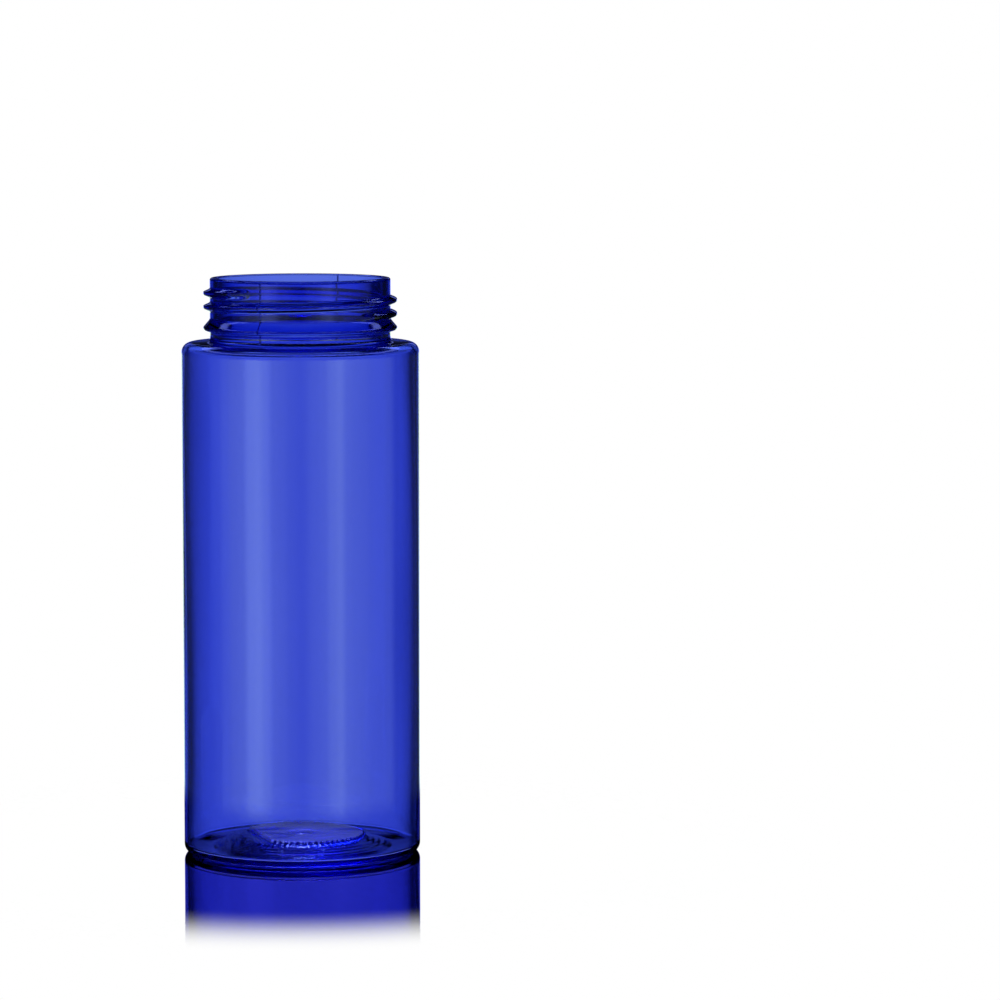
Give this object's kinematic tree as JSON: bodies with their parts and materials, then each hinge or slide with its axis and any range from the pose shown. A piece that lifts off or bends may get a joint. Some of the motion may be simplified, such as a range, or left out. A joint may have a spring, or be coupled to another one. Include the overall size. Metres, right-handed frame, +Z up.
{
  "type": "prescription vial",
  "caption": "Straight-sided translucent blue prescription bottle with a threaded neck, and its loose push-and-turn closure with liner.",
  "frame": {"origin": "centre of the bottle's foot, on the surface it stands on", "axes": "+Z up along the bottle's axis, out of its mouth; the loose closure lies mouth up on the same surface, towards -X"},
  "size_m": [0.1289, 0.0458, 0.1115],
  "materials": {
    "bottle_plastic": "translucent cobalt-blue blown PET, polished",
    "closure_plastic": "white moulded polypropylene, satin",
    "liner": "foamed polyethylene sheet, soft matt"
  },
  "bodies": {
    "bottle": {"bottle": "bottle_plastic"},
    "closure_outer": {"outer_cap": "closure_plastic"},
    "closure_inner": {"inner_cap": "closure_plastic", "cap_liner": "liner"}
  },
  "joints": [
    {"name": "closure_lift", "type": "slide", "parent": "bottle", "child": "closure_outer", "axis": [0.3462, 0, 0.9382], "range_m": [0, 0.1385]},
    {"name": "push_down", "type": "slide", "parent": "closure_outer", "child": "closure_inner", "axis": [0, 0, -1], "range_m": [0, 0.0012], "stiffness_N_per_m": 5000}
  ]
}
